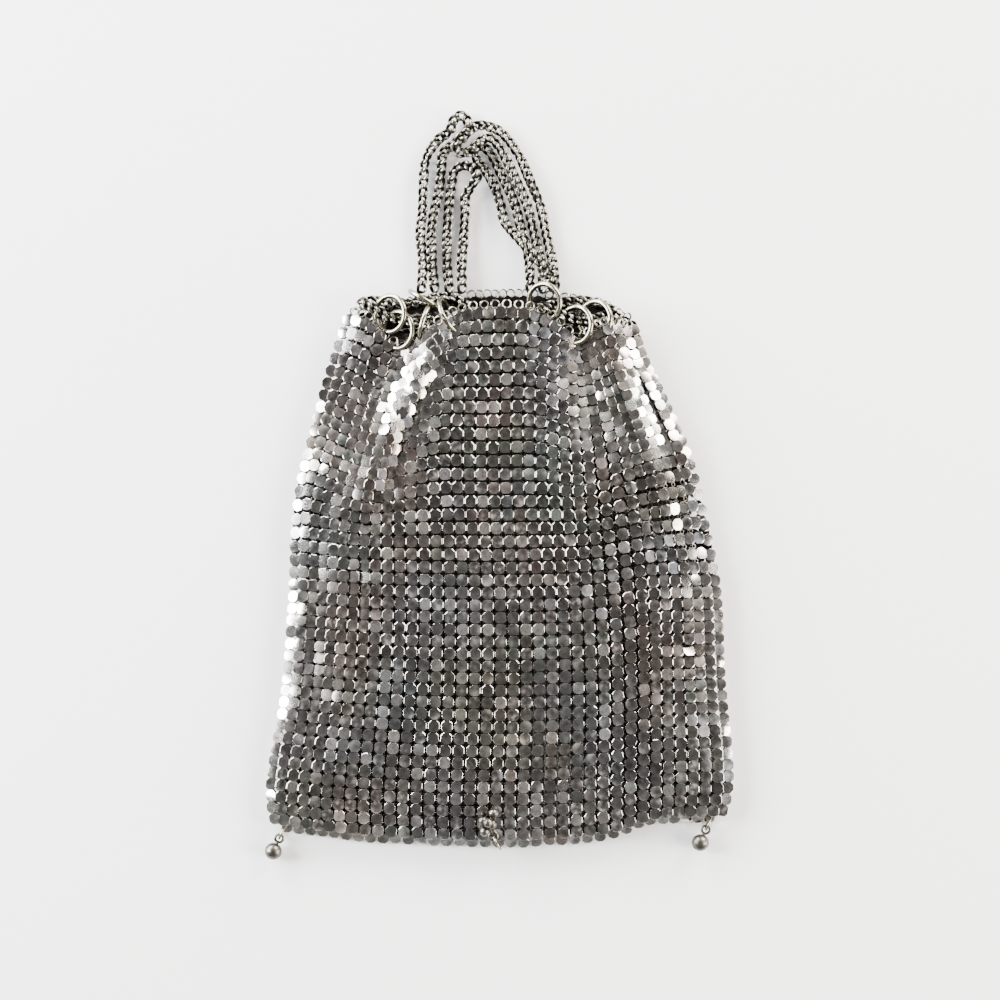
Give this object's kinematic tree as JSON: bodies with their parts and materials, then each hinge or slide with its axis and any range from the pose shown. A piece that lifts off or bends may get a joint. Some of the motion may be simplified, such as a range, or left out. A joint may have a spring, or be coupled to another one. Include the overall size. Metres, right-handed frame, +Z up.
{
  "type": "metal mesh purse",
  "caption": "Drawstring evening purse of linked metal plates lying on its back, with big wire rings at the mouth, chain loop handles and small ball drops along the bottom edge.",
  "frame": {"origin": "middle of the footprint, on the surface the purse lies on", "axes": "+Y from the bottom edge to the chain handle, +Z up out of the surface through the front, +X to the right as seen from above"},
  "size_m": [0.1406, 0.2242, 0.0147],
  "materials": {
    "plate_mesh": "polished nickel silver plates with patchy tarnish",
    "rings": "drawn nickel silver wire, worn bright",
    "chain": "nickel silver wire links, dark in the hollows",
    "drops": "tarnished nickel silver"
  },
  "bodies": {
    "root": {"mesh_pouch": "plate_mesh", "draw_chain": "chain", "handle_left_outer": "chain", "handle_left_inner": "chain", "handle_right_outer": "chain", "handle_right_inner": "chain", "ring_left_outer": "rings", "ring_left_second": "rings", "ring_left_third": "rings", "ring_left_inner": "rings", "ring_left_back": "rings", "ring_right_inner": "rings", "ring_right_second": "rings", "ring_right_outer": "rings", "drop_left": "drops", "drop_right": "drops", "drop_middle": "drops", "drop_ring_left": "rings", "drop_ring_right": "rings", "drop_ring_middle": "rings"}
  },
  "joints": []
}
